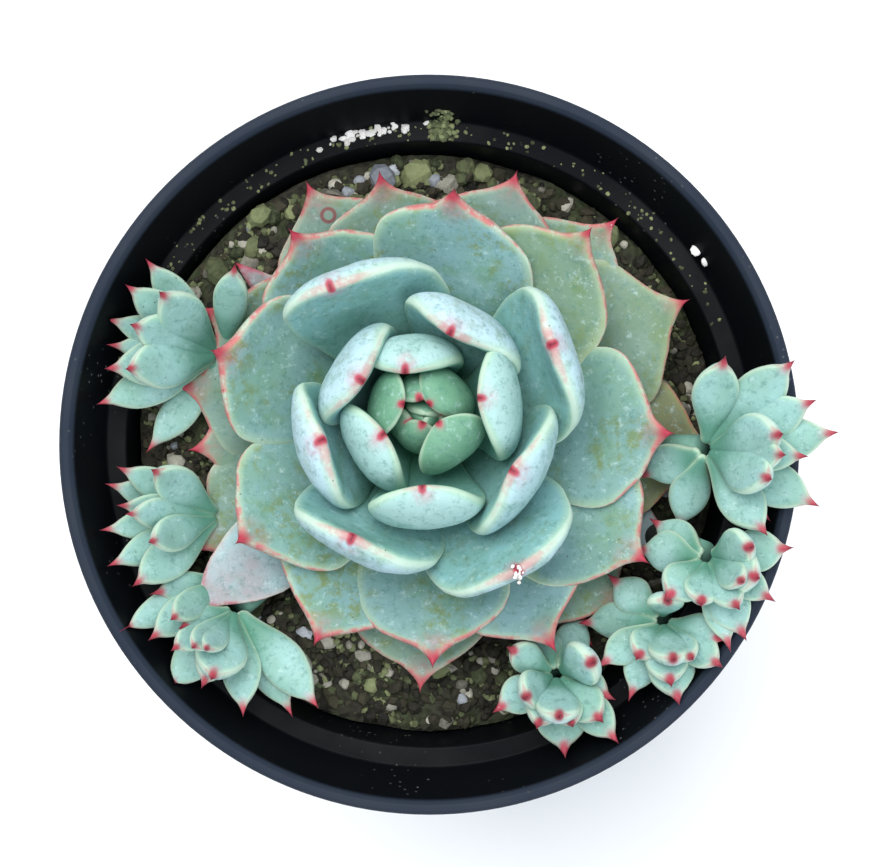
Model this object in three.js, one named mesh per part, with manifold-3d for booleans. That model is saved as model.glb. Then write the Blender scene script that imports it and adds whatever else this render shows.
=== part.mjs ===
// Potted succulent: a rosette with a ring of offsets in a thin plastic nursery pot.
// Millimetres, +Z up. The origin is the middle of the pot's underside, on the surface it stands on.
import * as THREE from "three";
import { mergeVertices } from "three/addons/utils/BufferGeometryUtils.js";
import Module from "manifold-3d";

const wasm = await Module();
wasm.setup();

// ---------- driving dimensions ----------
const GAP = 0.3; // clearance kept between touching pieces

const POT_HEIGHT = 92;
const POT_RIM_RADIUS = 60; // outside of the lip
const POT_BASE_RADIUS = 43; // outside of the wall at the foot
const POT_WALL = 1.5;
const POT_FLOOR = 1.8;
const LIP_WIDTH = 2.2; // across the top of the rim
const LIP_DROP = 3.2; // height of the thickened lip
const COLLAR_DEPTH = 12; // from the rim down to the inner step
const COLLAR_TAPER = 3.4; // how much the collar's inside narrows on the way down
const STEP_WIDTH = 3.5; // the flat ledge inside, under the collar
const FOOT_RING_WIDTH = 4;
const FOOT_RECESS = 2.4; // how far the drained part of the base is raised
const RECESS_SLOPE = 1; // width of the slopes on both sides of the recess
const FLOOR_CORNER = 2; // size of the bevel inside, between the wall and the floor
const EDGE = 0.6; // width of the small flats that soften the pot's edges
const CENTRE_DISC_RADIUS = 12; // flat disc in the middle of the base
const DRAIN_HOLE_RADIUS = 3.2;
const DRAIN_HOLE_COUNT = 8;
const DRAIN_HOLE_SIDES = 8;
const FOOT_NOTCH_WIDTH = 7;
const FOOT_NOTCH_RISE = 1.8;
const FOOT_NOTCH_COUNT = 4;
const POT_SIDES = 32;

const SOIL_DEPTH = 21; // rim down to the soil at the wall
const SOIL_MOUND = 4; // rise of the soil towards the stem
const SOIL_BANK = 6; // extra height of the soil on its banked side
const SOIL_BANK_AZIMUTH = 140; // degrees
const SOIL_ROUGHNESS = 0.9;
const SOIL_SIDES = 22;
const SOIL_RINGS = [0.86, 0.7, 0.52, 0.34, 0.16, 0]; // rings of the soil's top, as shares of its radius

const STEM_FOOT_RADIUS = 8.5;
const STEM_TOP_RADIUS = 1.6;
const STEM_TOP_DROP = 7.5; // rim down to the top of the stem
const STEM_BURIED = 12; // length of stem below the soil's surface
const STEM_SIDES = 10;
const STEM_RINGS = [0, 0.35, 0.55, 0.75, 0.9, 1]; // rings of the stem, as shares of its length
const STEM_OFFSET = [-0.6, 4.6]; // the stem and its rosette stand a little off the pot's axis

const LEAF_SIDES = 8; // faces around a leaf
const LEAF_RINGS = 7; // faces along a leaf
const PUP_LEAF_SIDES = 5;
const PUP_LEAF_RINGS = 4;

// ---------- leaf forms ----------
// How a leaf goes on from its shoulder, its widest place, to its point. shoulder is a share of its
// length, fall and ending are the exponents of the curve by which the width then falls off, and full is
// the share of its thickness that it keeps at its end. Cushions end thick and blunt, ogees in a point.
const CUSHION = { shoulder: 0.6, fall: 3, ending: 0.55, full: 0.9 };
const BROAD = { shoulder: 0.62, fall: 2.8, ending: 0.85, full: 0.75 };
const OGEE = { shoulder: 0.66, fall: 2.6, ending: 1.45, full: 0.6 };
const ALMOND = { shoulder: 0.5, fall: 2.2, ending: 1, full: 0.75 };
const UPPER_SHARE = 0.4; // of a leaf's thickness lies above its middle surface

// ---------- leaves of the main rosette ----------
// Each ring holds leaves of one age, from the heart outwards. drop is how far below the rim its leaves
// leave the stem, thickness is at their fattest and cup is how far the margins rise above the middle.
// A leaf is [azimuth, length, width, lift at the stem, lift at the tip, sway of the tip to its left],
// in degrees and millimetres.
const RINGS = [
  {
    name: "heart_leaf",
    form: CUSHION,
    colour: 0x8fb8a4,
    drop: 4.5,
    thickness: 4.4,
    cup: 0.8,
    leaves: [
      [308, 19.5, 12.5, 14, 166, 1],
      [167, 18, 11, 14, 152, -1],
      [42, 16.5, 10.5, 20, 164, 1],
      [250, 12.5, 8, 40, 150, 0],
      [108, 14.5, 6.5, 36, 138, 0],
      [205, 11, 5.5, 46, 130, 0],
      [15, 10.5, 5.5, 50, 130, 0],
    ],
  },
  {
    name: "inner_leaf",
    form: CUSHION,
    colour: 0x9cc4ae,
    drop: 7,
    thickness: 6,
    cup: 1.2,
    leaves: [
      [91, 22, 15, 10, 138, 3],
      [5, 26.5, 17.5, 3, 140, 2],
      [216, 23, 16, 9, 140, -1.5],
      [273, 30, 18.5, -4, 138, -1],
    ],
  },
  {
    name: "middle_leaf",
    form: BROAD,
    colour: 0x9ac3b0,
    drop: 10,
    thickness: 6.4,
    cup: 1.8,
    leaves: [
      [146, 28.5, 18.5, 12, 126, 1],
      [60, 30, 21.5, 4, 126, 3],
      [200, 31, 21.5, 0, 116, -2],
      [328, 32.5, 23.5, -2, 122, 0],
      [247, 36, 25, -6, 108, -3],
      [19, 36, 25, -6, 106, 4],
      [301, 38, 26, -4, 88, 0],
      [110, 36, 26, -5, 100, 7],
    ],
  },
  {
    name: "spreading_leaf",
    form: OGEE,
    colour: 0x8fb7a6,
    drop: 13.5,
    thickness: 5,
    cup: 2.6,
    leaves: [
      [163, 35, 25, 2, 52, 0],
      [75, 36, 27, 4, 54, 5],
      [356, 38, 26, 2, 44, 0],
      [217, 35, 25, 2, 48, -2],
      [273, 38, 25, 0, 42, -1],
      [324, 40, 26, 0, 38, 2],
      [120, 35, 25, 2, 46, 4],
      [43, 38, 26, 0, 44, 4],
      [299, 40, 25, 0, 34, 0],
      [244, 38, 25, 0, 38, 0],
    ],
  },
  {
    name: "outer_leaf",
    form: OGEE,
    colour: 0x8aab98,
    drop: 17.2,
    thickness: 4,
    cup: 1.6,
    leaves: [
      [98, 34, 24, 2, 28, 2],
      [67, 36, 25, 2, 28, 2],
      [24, 40, 26, 0, 20, 0],
      [270, 38, 24, 0, 22, -1],
      [154, 34, 24, 2, 26, 0],
      [173, 34, 24, 0, 22, 0],
      [188, 32, 23, 0, 20, 0],
      [315, 39, 25, 0, 20, 0],
      [117, 36, 23, 0, 18, 0],
      [46, 38, 24, 0, 18, 0],
      [352, 41, 25, -2, 14, 1],
      [210, 37, 24, 0, 18, 0],
    ],
  },
  {
    name: "old_leaf",
    form: ALMOND,
    colour: 0x9c8b80,
    drop: 19.5,
    thickness: 3.4,
    cup: 0.8,
    leaves: [
      [141, 34, 8, 4, 26, 0],
      [220, 44, 17, 14, 24, 0],
      [333, 41, 12, 0, 12, 0],
      [306, 40, 10, 0, 12, 0],
    ],
  },
];

// ---------- offsets around the rosette ----------
// Each is a small rosette on its own short stem that leans out over the pot's wall. crown is where its
// leaves meet: [azimuth, inset from the rim, rise above the rim]. Each leaf is [azimuth it points to, how
// far it reaches from the crown, how much higher its point is than the crown, width].
const PUPS = [
  {
    name: "pup_west_upper",
    crown: [157, 22, -12],
    leaves: [
      [76, 14, 11, 6],
      [126, 18, 9, 6],
      [142, 17, 11, 6.5],
      [162, 18, 7, 5.5],
      [175, 17, 6, 5.5],
      [188, 17, 9, 7.5],
      [203, 20, 7, 7],
      [233, 19, 2, 6],
      [130, 12, 15, 7.5],
      [161, 13, 14, 7],
      [192, 13, 16, 8],
    ],
  },
  {
    name: "pup_west",
    crown: [199, 23, -12],
    leaves: [
      [152, 17, 9, 5.5],
      [163, 18, 6, 5.5],
      [140, 12, 13, 6.5],
      [176, 13, 14, 5.5],
      [172, 15, 10, 5],
      [200, 10, 15, 6],
      [186, 18, 7, 5.5],
      [204, 18, 9, 6],
      [220, 16, 11, 7],
    ],
  },
  {
    name: "pup_southwest_rim",
    crown: [213, 19.5, -10],
    leaves: [
      [207, 17, 8, 5.5],
      [220, 14, 9, 6],
      [219, 9, 13, 5],
      [192, 11, 5, 5],
      [236, 11, 6, 5],
    ],
  },
  {
    name: "pup_southwest",
    crown: [220, 18, -8],
    leaves: [
      [231, 16, 5, 7],
      [250, 12, 9, 6.5],
      [257, 10, 13, 8.5],
      [277, 16, 7, 6.5],
      [298, 19, 1, 6.5],
      [312, 20, 6, 7.5],
      [213, 10, 12, 5],
      [224, 7, 15, 4.5],
      [240, 6, 15, 4.5],
      [198, 8, 8, 5],
    ],
  },
  {
    name: "pup_east",
    crown: [359, 15, -3],
    leaves: [
      [83, 14, 9, 7.5],
      [48, 18, 9, 8],
      [26, 17, 9, 7.5],
      [8, 19, 8, 8],
      [14, 10, 13, 8.5],
      [356, 10, 14, 6],
      [356, 14, 9, 6],
      [331, 9, 14, 8],
      [332, 18, 8, 7.5],
      [302, 15, 9, 7.5],
      [311, 14, 3, 6],
      [205, 10, -6, 7],
      [255, 13, -6, 7],
    ],
  },
  {
    name: "pup_southeast_rim",
    crown: [338, 11.5, -1],
    leaves: [
      [222, 9, 4, 7],
      [8, 12, 5, 7],
      [338, 7, 9, 7.5],
      [326, 11, 6, 5.5],
      [296, 8, 9, 5.5],
      [293, 13, 5, 7],
      [282, 14, 4, 5.5],
      [20, 6, 9, 7],
      [255, 7, 7, 6],
      [322, 5, 11, 5],
      [175, 10, -5, 7],
      [145, 9, -7, 6],
    ],
  },
  {
    name: "pup_southeast",
    crown: [323, 12, -5],
    leaves: [
      [228, 7, 6, 6],
      [215, 12, 1, 6],
      [247, 13, 0, 6],
      [275, 5, 11, 7],
      [304, 6, 10, 5],
      [272, 9, 8, 7],
      [278, 12, 6, 8],
      [322, 10, 8, 6],
      [345, 9, 6, 6],
      [90, 4, 7, 6],
      [140, 10, -4, 6.5],
      [185, 12, -6, 6.5],
    ],
  },
  {
    name: "pup_south",
    crown: [299, 16.5, -8],
    leaves: [
      [30, 6, 9, 8],
      [204, 6, 10, 6.5],
      [266, 5, 13, 7.5],
      [285, 7, 10, 5.5],
      [316, 9, 8, 6.5],
      [244, 8, 8, 6],
      [209, 11, 3, 6.5],
      [313, 13, 7, 6.5],
      [275, 12, 4, 8.5],
      [149, 9, 5, 5.5],
      [338, 9, 3, 6],
      [110, 7, -4, 6],
      [60, 10, -6, 6],
    ],
  },
];
const PUP_STEM_RADIUS = 2.4;
const PUP_STEM_SIDES = 7;
const PUP_STEM_INSET = 9; // how much nearer the pot's axis a pup's foot is than its crown
const PUP_LEAF_FOOT = 1; // from a pup's crown out to the foot of its leaves
const PUP_LEAF_BEND = 46; // degrees that a pup's leaf turns upwards along its length
const PUP_LEAF_THICKNESS = 0.6; // share of the leaf's width
const PUP_LEAF_CUP = 0.1; // share of the leaf's width
const PUP_COLOUR = 0x96bfaa;

// Grit stones that lie on the soil: [azimuth, distance, length, width, height].
const STONES = [
  [112, 44, 6.5, 5, 4],
  [100, 46, 5.5, 4.5, 3.5],
];
const STONE_SUNK = 0.15; // share of a stone's height that is bedded in the soil

// ---------- solids ----------
const rad = THREE.MathUtils.degToRad;

// Two numbers blended by a share that is held between 0 and 1 and eased at both ends.
function ease(from, to, share) {
  return THREE.MathUtils.lerp(from, to, THREE.MathUtils.smoothstep(share, 0, 1));
}

// A closed geometry as a manifold-3d solid.
function solidOf(geometry) {
  geometry.deleteAttribute("normal");
  geometry.deleteAttribute("uv");
  const merged = mergeVertices(geometry, 1e-4);
  return new wasm.Manifold(
    new wasm.Mesh({
      numProp: 3,
      vertProperties: merged.attributes.position.array,
      triVerts: new Uint32Array(merged.index.array),
    }),
  );
}

// A manifold-3d solid as a geometry.
function geometryOf(solid) {
  const mesh = solid.getMesh();
  const position = new THREE.BufferAttribute(mesh.vertProperties, mesh.numProp);
  const geometry = new THREE.BufferGeometry().setAttribute("position", position);
  geometry.setIndex(new THREE.BufferAttribute(mesh.triVerts, 1));
  geometry.computeVertexNormals();
  return geometry;
}

// The biggest of a solid's separate bodies.
function biggestBody(solid) {
  return solid.decompose().reduce((best, body) => (body.volume() > best.volume() ? body : best));
}

// A solid without what its neighbours take up.
function cutBy(solid, neighbours) {
  const near = neighbours.filter((other) => boxesMeet(solid.boundingBox(), other.boundingBox()));
  return near.reduce((rest, other) => rest.subtract(other), solid);
}

function boxesMeet(a, b) {
  return [0, 1, 2].every((i) => a.min[i] < b.max[i] && b.min[i] < a.max[i]);
}

// A profile of [radius, height] pairs turned about the Z axis.
function turned(profile, sides) {
  const points = profile.map(([radius, height]) => new THREE.Vector2(radius, height));
  return new THREE.LatheGeometry(points, sides).rotateX(Math.PI / 2);
}

// ---------- pot ----------
// Outer radius of the tapered wall at a height; the wall ends under the collar's step.
const STEP_HEIGHT = POT_HEIGHT - COLLAR_DEPTH;
const LIP_INNER_RADIUS = POT_RIM_RADIUS - LIP_WIDTH;
const STEP_OUTER_RADIUS = LIP_INNER_RADIUS - COLLAR_TAPER;
const STEP_INNER_RADIUS = STEP_OUTER_RADIUS - STEP_WIDTH;

function wallInnerRadius(height) {
  const foot = POT_BASE_RADIUS - POT_WALL;
  return foot + ((STEP_INNER_RADIUS - foot) * height) / STEP_HEIGHT;
}

// The pot's half section, from the middle of the underside, up the outside and down the inside.
// With grow above 0 it is the room that others leave free around the pot's inside and lip.
function potProfile(grow) {
  const footInner = POT_BASE_RADIUS - FOOT_RING_WIDTH;
  const stepUnder = STEP_HEIGHT - POT_WALL;
  const floorTop = FOOT_RECESS + POT_FLOOR;
  return [
    [0, 0],
    [CENTRE_DISC_RADIUS, 0],
    [CENTRE_DISC_RADIUS + RECESS_SLOPE, FOOT_RECESS],
    [footInner - RECESS_SLOPE, FOOT_RECESS],
    [footInner, 0],
    [POT_BASE_RADIUS - EDGE, 0],
    [POT_BASE_RADIUS, EDGE],
    [wallInnerRadius(stepUnder) + POT_WALL, stepUnder],
    [STEP_OUTER_RADIUS + POT_WALL - EDGE, stepUnder],
    [STEP_OUTER_RADIUS + POT_WALL, stepUnder + EDGE],
    [LIP_INNER_RADIUS + POT_WALL - EDGE, POT_HEIGHT - LIP_DROP],
    [POT_RIM_RADIUS - EDGE / 2 + grow, POT_HEIGHT - LIP_DROP],
    [POT_RIM_RADIUS + grow, POT_HEIGHT - LIP_DROP + EDGE],
    [POT_RIM_RADIUS + grow, POT_HEIGHT - EDGE],
    [POT_RIM_RADIUS - EDGE + grow / 2, POT_HEIGHT + grow],
    [LIP_INNER_RADIUS + EDGE - grow / 2, POT_HEIGHT + grow],
    [LIP_INNER_RADIUS - grow, POT_HEIGHT - EDGE],
    [STEP_OUTER_RADIUS - grow, STEP_HEIGHT + grow],
    [STEP_INNER_RADIUS - grow, STEP_HEIGHT + grow],
    [wallInnerRadius(floorTop + FLOOR_CORNER) - grow, floorTop + FLOOR_CORNER],
    [wallInnerRadius(0) - FLOOR_CORNER - grow, floorTop + grow],
    [0, floorTop + grow],
  ];
}

function potSolid() {
  let pot = solidOf(turned(potProfile(0), POT_SIDES));
  const recessMiddle = (CENTRE_DISC_RADIUS + POT_BASE_RADIUS - FOOT_RING_WIDTH) / 2;
  for (let i = 0; i < DRAIN_HOLE_COUNT; i++) {
    const depth = 4 * (FOOT_RECESS + POT_FLOOR);
    const hole = new THREE.CylinderGeometry(DRAIN_HOLE_RADIUS, DRAIN_HOLE_RADIUS, depth, DRAIN_HOLE_SIDES);
    hole.rotateX(Math.PI / 2).translate(recessMiddle, 0, 0);
    pot = pot.subtract(solidOf(hole.rotateZ((2 * Math.PI * i) / DRAIN_HOLE_COUNT)));
  }
  for (let i = 0; i < FOOT_NOTCH_COUNT; i++) {
    const reach = 3 * FOOT_RING_WIDTH;
    const notch = new THREE.BoxGeometry(reach, FOOT_NOTCH_WIDTH, 2 * FOOT_NOTCH_RISE);
    notch.translate(POT_BASE_RADIUS, 0, 0);
    pot = pot.subtract(solidOf(notch.rotateZ((2 * Math.PI * (i + 0.5)) / FOOT_NOTCH_COUNT)));
  }
  return pot;
}

// ---------- soil ----------
// The middle of one of the pot's flat sides is this share of the way out to its corners.
const POT_FLAT_SHARE = Math.cos(Math.PI / POT_SIDES);
const SOIL_TOP = POT_HEIGHT - SOIL_DEPTH; // at the wall

// Height of the soil's top at a place: a mound round the stem, a bank on one side, and lumps.
function soilHeight(x, y) {
  const share = Math.min(1, Math.hypot(x, y) / STEP_INNER_RADIUS);
  const turn = Math.atan2(y, x) - rad(SOIL_BANK_AZIMUTH);
  const bank = SOIL_BANK * share * Math.max(0, Math.cos(turn)) ** 2;
  const lumps = SOIL_ROUGHNESS * (Math.sin(x * 0.31 + 1) * Math.cos(y * 0.27) + Math.sin((x - y) * 0.43) / 2);
  return SOIL_TOP + SOIL_MOUND * (1 - share * share) + bank + lumps;
}

function soilSolid(grow) {
  const floor = FOOT_RECESS + POT_FLOOR + GAP;
  const edge = wallInnerRadius(SOIL_TOP) * POT_FLAT_SHARE - GAP;
  const profile = [
    [0, floor],
    [(wallInnerRadius(0) - FLOOR_CORNER) * POT_FLAT_SHARE - GAP, floor],
    [wallInnerRadius(floor + FLOOR_CORNER) * POT_FLAT_SHARE - GAP, floor + FLOOR_CORNER],
    [edge, SOIL_TOP],
  ];
  for (const share of SOIL_RINGS) profile.push([edge * share, SOIL_TOP]);
  const geometry = turned(profile, SOIL_SIDES);
  const position = geometry.attributes.position;
  for (let i = 0; i < position.count; i++) {
    if (position.getZ(i) < SOIL_TOP - GAP) continue;
    const x = position.getX(i);
    const y = position.getY(i);
    position.setZ(i, soilHeight(x, y) + grow);
  }
  return solidOf(geometry);
}

// ---------- stem ----------
const STEM_TOP = POT_HEIGHT - STEM_TOP_DROP;

function stemRadius(height) {
  return ease(STEM_FOOT_RADIUS, STEM_TOP_RADIUS, (height - SOIL_TOP) / (STEM_TOP - SOIL_TOP));
}

function stemSolid(grow) {
  const foot = SOIL_TOP - STEM_BURIED;
  const profile = [[0, foot - grow]];
  for (const share of STEM_RINGS) {
    const height = foot + (STEM_TOP - foot) * share;
    profile.push([stemRadius(height) + grow, share ? height : height - grow]);
  }
  profile.push([0, STEM_TOP + 1 + grow]);
  return solidOf(turned(profile, STEM_SIDES).translate(...STEM_OFFSET, 0));
}

// ---------- leaf ----------
const NECK = 0.42; // width of a leaf's foot, as a share of its greatest width
const FOOT_LENGTH = 0.04; // share of a leaf's length that its rounded foot takes

function footShare(share) {
  return Math.min(1, Math.sqrt(share / FOOT_LENGTH));
}

// Half width of a leaf at a share of its length, as a share of the half width at its widest: a narrow
// foot and broad shoulders, then an end that is round or drawn out to a point, as its form says.
function leafOutline(share, form) {
  const past = Math.max(0, (share - form.shoulder) / (1 - form.shoulder));
  const body = ease(NECK, 1, share / form.shoulder);
  return footShare(share) * body * (1 - past ** form.fall) ** form.ending;
}

// Thickness of a leaf at a share of its length, as a share of its greatest thickness.
function leafFatness(share, form) {
  const thinner = 1 - (1 - form.full) * share * share;
  return footShare(share) * ease(0.6, 1, share / 0.45) * thinner * Math.sqrt(Math.max(0, 1 - share ** 10));
}

// A leaf that leaves the Z axis at baseRadius along +X. Its middle line bends evenly from one lift to
// the other, its upper face is hollowed by cup and its lower face is rounded.
function leafGeometry(leaf) {
  const { form, baseRadius, length, width, thickness, cup } = leaf;
  const { liftStart, liftEnd, sway, grow, sides, rings } = leaf;
  const geometry = new THREE.SphereGeometry(1, sides, rings);
  const position = geometry.attributes.position;
  const start = rad(liftStart);
  const bend = rad(liftEnd - liftStart);
  const reach = length + 2 * grow;
  const spread = width / 2 + grow;
  for (let i = 0; i < position.count; i++) {
    const share = (1 - position.getY(i)) / 2;
    const around = Math.atan2(position.getZ(i), position.getX(i));
    const lift = start + bend * share;
    const out = baseRadius - grow + (reach * (Math.sin(lift) - Math.sin(start))) / bend;
    const up = (reach * (Math.cos(start) - Math.cos(lift))) / bend;
    const outline = leafOutline(share, form);
    const side = Math.cos(around);
    const face = Math.sin(around);
    const depth = leafFatness(share, form) * thickness * (face > 0 ? UPPER_SHARE : 1 - UPPER_SHARE);
    const thick = Math.min(depth + grow, (spread * outline + grow) * 0.9 + 0.05);
    const raised = cup * (side * outline) ** 2 * (1 - 0.8 * share ** 3) + thick * face;
    position.setXYZ(
      i,
      out - raised * Math.sin(lift),
      spread * outline * side + sway * share * share,
      up + raised * Math.cos(lift),
    );
  }
  return geometry;
}

// ---------- assembly ----------
const plant = new THREE.Group();
const placed = []; // grown copies of the solids that later ones keep clear of

function addMesh(name, solid, colour, roughness) {
  const material = new THREE.MeshStandardMaterial({ color: colour, roughness, metalness: 0 });
  const mesh = new THREE.Mesh(geometryOf(solid), material);
  mesh.name = name;
  plant.add(mesh);
}

function rosetteLeaf(ring, [azimuth, length, width, liftStart, liftEnd, sway], grow) {
  const height = POT_HEIGHT - ring.drop;
  const geometry = leafGeometry({
    form: ring.form,
    baseRadius: stemRadius(height) + GAP,
    length,
    width,
    thickness: ring.thickness,
    cup: ring.cup,
    liftStart,
    liftEnd,
    sway,
    grow,
    sides: LEAF_SIDES,
    rings: LEAF_RINGS,
  });
  return solidOf(geometry.rotateZ(rad(azimuth)).translate(...STEM_OFFSET, height));
}

// A pup: leaves that leave its crown in their own directions and bend upwards along an arc, joined to
// a short stem that runs back and down to the soil.
function pupSolid(pup, grow) {
  const [turn, inset, rise] = pup.crown;
  const swing = new THREE.Vector3(Math.cos(rad(turn)), Math.sin(rad(turn)), 0);
  const crown = swing.clone().multiplyScalar(POT_RIM_RADIUS - inset).setZ(POT_HEIGHT + rise);
  const foot = swing.clone().multiplyScalar(POT_RIM_RADIUS - inset - PUP_STEM_INSET).setZ(SOIL_TOP);
  const axis = crown.clone().sub(foot);
  const radius = PUP_STEM_RADIUS + grow;
  const stem = new THREE.CylinderGeometry(radius, radius, axis.length(), PUP_STEM_SIDES);
  const up = new THREE.Vector3(0, 1, 0);
  stem.applyQuaternion(new THREE.Quaternion().setFromUnitVectors(up, axis.clone().normalize()));
  stem.translate(...crown.clone().add(foot).divideScalar(2).toArray());
  let solid = solidOf(stem);
  for (const [azimuth, reach, climb, width] of pup.leaves) {
    const chordLift = THREE.MathUtils.radToDeg(Math.atan2(climb, reach - PUP_LEAF_FOOT));
    const halfBend = rad(PUP_LEAF_BEND / 2);
    const leaf = leafGeometry({
      form: ALMOND,
      baseRadius: PUP_LEAF_FOOT,
      length: (Math.hypot(reach - PUP_LEAF_FOOT, climb) * halfBend) / Math.sin(halfBend),
      width,
      thickness: width * PUP_LEAF_THICKNESS,
      cup: width * PUP_LEAF_CUP,
      liftStart: chordLift - PUP_LEAF_BEND / 2,
      liftEnd: chordLift + PUP_LEAF_BEND / 2,
      sway: 0,
      grow,
      sides: PUP_LEAF_SIDES,
      rings: PUP_LEAF_RINGS,
    });
    solid = solid.add(solidOf(leaf.rotateZ(rad(azimuth)).translate(...crown.toArray())));
  }
  return solid;
}

function stoneSolid([azimuth, distance, length, width, height]) {
  const stone = new THREE.SphereGeometry(1, 7, 4).scale(length / 2, width / 2, height / 2);
  const x = distance * Math.cos(rad(azimuth));
  const y = distance * Math.sin(rad(azimuth));
  const middle = soilHeight(x, y) + height * (0.5 - STONE_SUNK);
  return solidOf(stone.rotateZ(rad(azimuth * 3)).translate(x, y, middle));
}

const potRoom = solidOf(turned(potProfile(GAP), POT_SIDES));
const soilRoom = soilSolid(GAP);

addMesh("pot", potSolid(), 0x15181d, 0.45);
const stemRoom = stemSolid(GAP);
addMesh("soil", cutBy(soilSolid(0), [stemRoom]), 0x2f2b22, 0.95);
addMesh("main_stem", stemSolid(0), 0x7d7a5c, 0.7);
placed.push(stemRoom);

for (const ring of RINGS) {
  ring.leaves.forEach((leaf, i) => {
    const blade = cutBy(rosetteLeaf(ring, leaf, 0), placed);
    addMesh(`${ring.name}_${i + 1}`, biggestBody(cutBy(blade, [potRoom, soilRoom])), ring.colour, 0.6);
    placed.push(rosetteLeaf(ring, leaf, GAP));
  });
}
for (const pup of PUPS) {
  const body = cutBy(pupSolid(pup, 0), [...placed, potRoom, soilRoom]);
  addMesh(pup.name, biggestBody(body), PUP_COLOUR, 0.6);
  placed.push(pupSolid(pup, GAP));
}
STONES.forEach((stone, i) => {
  const body = cutBy(stoneSolid(stone), [...placed, potRoom, soilRoom]);
  addMesh(`grit_stone_${i + 1}`, biggestBody(body), 0xb9b2a2, 0.9);
});

export default plant;
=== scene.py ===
# %% [markdown]
# A potted succulent, finished in Blender
#
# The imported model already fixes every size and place: a thin plastic nursery pot, the gritty mix in it,
# a big waxy rosette and eight small offsets. This lesson gives each of them its real surface. The
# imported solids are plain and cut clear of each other, so every visible one gets a smooth piece that
# fills the same space, and a material built from nodes.

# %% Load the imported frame
import math
import random

import bmesh
import bpy
from mathutils import Euler, Matrix, Vector, noise
from mathutils.bvhtree import BVHTree


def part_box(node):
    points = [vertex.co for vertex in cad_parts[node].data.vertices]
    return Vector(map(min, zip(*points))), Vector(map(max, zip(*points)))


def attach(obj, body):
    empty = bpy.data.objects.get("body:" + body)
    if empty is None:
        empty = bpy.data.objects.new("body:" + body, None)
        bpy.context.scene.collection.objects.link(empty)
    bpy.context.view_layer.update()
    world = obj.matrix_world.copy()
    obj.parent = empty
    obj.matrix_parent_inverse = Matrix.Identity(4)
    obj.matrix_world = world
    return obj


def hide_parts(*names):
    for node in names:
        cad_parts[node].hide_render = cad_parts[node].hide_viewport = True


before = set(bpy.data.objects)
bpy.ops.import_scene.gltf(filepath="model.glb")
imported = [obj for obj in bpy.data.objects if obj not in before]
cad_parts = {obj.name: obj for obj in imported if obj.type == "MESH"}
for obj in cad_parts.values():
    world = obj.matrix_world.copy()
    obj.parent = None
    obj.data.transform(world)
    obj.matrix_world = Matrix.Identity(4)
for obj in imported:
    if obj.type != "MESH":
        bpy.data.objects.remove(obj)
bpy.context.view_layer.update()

MM = 0.001
pot_low, pot_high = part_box("pot")
RIM_RADIUS = pot_high[1] / MM
RIM_HEIGHT = pot_high[2] / MM
print(f"pot: {2 * RIM_RADIUS:.1f} mm across, {RIM_HEIGHT:.1f} mm high, {len(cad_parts)} nodes")

# %% [markdown]
# Three helpers
#
# Colours are written as the sRGB hex that a colour picker shows, and Blender wants linear values, so
# one function turns them. Patterns are sized in millimetres, so another turns the size of one repeat
# into a texture scale. The third adds a shader node with its settings and its links in one line.

# %% Helpers for colours, scales and nodes
def colour(hex_code):
    """Linear RGBA from an sRGB hex string."""
    parts = [int(hex_code[i:i + 2], 16) / 255 for i in (0, 2, 4)]
    return [p / 12.92 if p <= 0.04045 else ((p + 0.055) / 1.055) ** 2.4 for p in parts] + [1]


def repeat(size_mm):
    """Texture scale that gives a pattern one repeat each size_mm."""
    return 1 / (size_mm * MM)


def add(tree, kind, inputs=None, **settings):
    """A new node. An input is set to a value, or linked if the value is another node's socket."""
    made = tree.nodes.new(kind)
    for key, value in settings.items():
        setattr(made, key, value)
    for key, value in (inputs or {}).items():
        if isinstance(value, bpy.types.NodeSocket):
            tree.links.new(value, made.inputs[key])
        else:
            made.inputs[key].default_value = value
    return made


def new_material(name):
    """An empty node material with its shader and the object's own coordinates."""
    material = bpy.data.materials.new(name)
    material.use_nodes = True
    tree = material.node_tree
    shader = tree.nodes["Principled BSDF"]
    place = add(tree, "ShaderNodeTexCoord").outputs["Object"]
    return material, tree, shader, place


print("helpers ready: #808080 is", round(colour("808080")[0], 3), "linear")

# %% [markdown]
# Camera, light and floor
#
# The plant is looked at from straight above, as a grower looks into a tray of pots. A lens of about
# 77 mm from 300 mm over the rim keeps the pot's wall visible around the soil without wide-angle
# stretch. Two large soft lamps and a pale sky stand in for an overcast day, which suits waxy leaves:
# a small hard lamp would put glints on a surface that has none.

# %% Stage
CAMERA_ABOVE_RIM = 300
VIEW_WIDTH = 141  # of the rim's plane that the picture spans, in millimetres
VIEW_CENTRE = (1.1, 1.8)

camera = bpy.data.objects.new("camera", bpy.data.cameras.new("camera"))
bpy.context.collection.objects.link(camera)
camera.data.lens = 36 * CAMERA_ABOVE_RIM / VIEW_WIDTH
camera.data.clip_start = 0.01
camera.location = Vector((*VIEW_CENTRE, RIM_HEIGHT + CAMERA_ABOVE_RIM)) * MM
bpy.context.scene.camera = camera


def softbox(name, azimuth, elevation, distance, size, watts, tint):
    """A square lamp that looks at the rim's middle from an azimuth and elevation in degrees."""
    lamp = bpy.data.objects.new(name, bpy.data.lights.new(name, "AREA"))
    bpy.context.collection.objects.link(lamp)
    lamp.data.size = size
    lamp.data.energy = watts
    lamp.data.color = colour(tint)[:3]
    side = Vector((math.cos(math.radians(azimuth)), math.sin(math.radians(azimuth)), 0))
    up = math.radians(elevation)
    away = side * math.cos(up) + Vector((0, 0, math.sin(up)))
    lamp.location = Vector((0, 0, RIM_HEIGHT * MM)) + away * distance
    lamp.rotation_euler = away.to_track_quat("Z", "Y").to_euler()


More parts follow.
